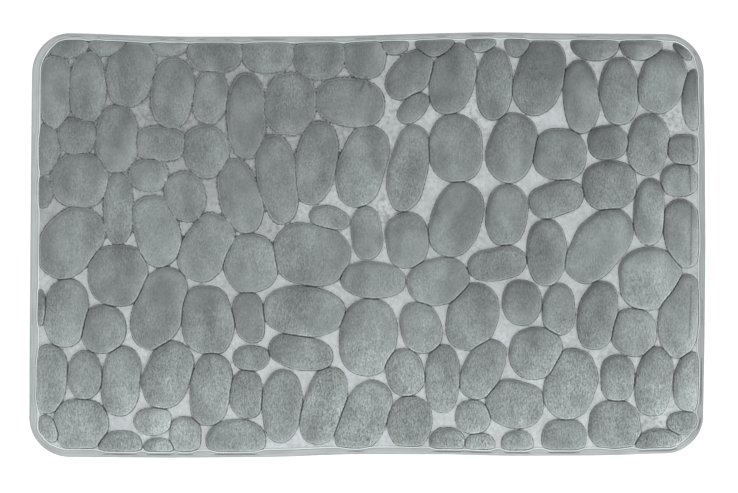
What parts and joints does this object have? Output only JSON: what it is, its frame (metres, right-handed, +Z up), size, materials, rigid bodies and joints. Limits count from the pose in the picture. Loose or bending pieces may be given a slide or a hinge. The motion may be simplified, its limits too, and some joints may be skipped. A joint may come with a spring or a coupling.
{
  "type": "bath mat",
  "caption": "Rectangular memory foam bath mat with rounded corners, a plush cover pressed into a pebble relief, a folded stitched edge binding and a non-slip underside.",
  "frame": {"origin": "on the floor under the middle of the mat", "axes": "+X along the mat's length, +Y across its width, +Z up through the pile"},
  "size_m": [0.8, 0.5, 0.0152],
  "materials": {
    "grip_rubber": "matte printed dots",
    "base_knit": "fine warp knit",
    "foam": "open-cell memory foam",
    "cover_plush": "short plush pile, pressed shiny in the valleys",
    "binding_cloth": "smooth satin-faced woven tape",
    "thread": "polyester sewing thread"
  },
  "bodies": {
    "root": {"grip_coat": "grip_rubber", "base_cloth": "base_knit", "foam_core": "foam", "top_cover": "cover_plush", "edge_binding": "binding_cloth", "needle_thread": "thread", "bobbin_thread": "thread"}
  },
  "joints": []
}
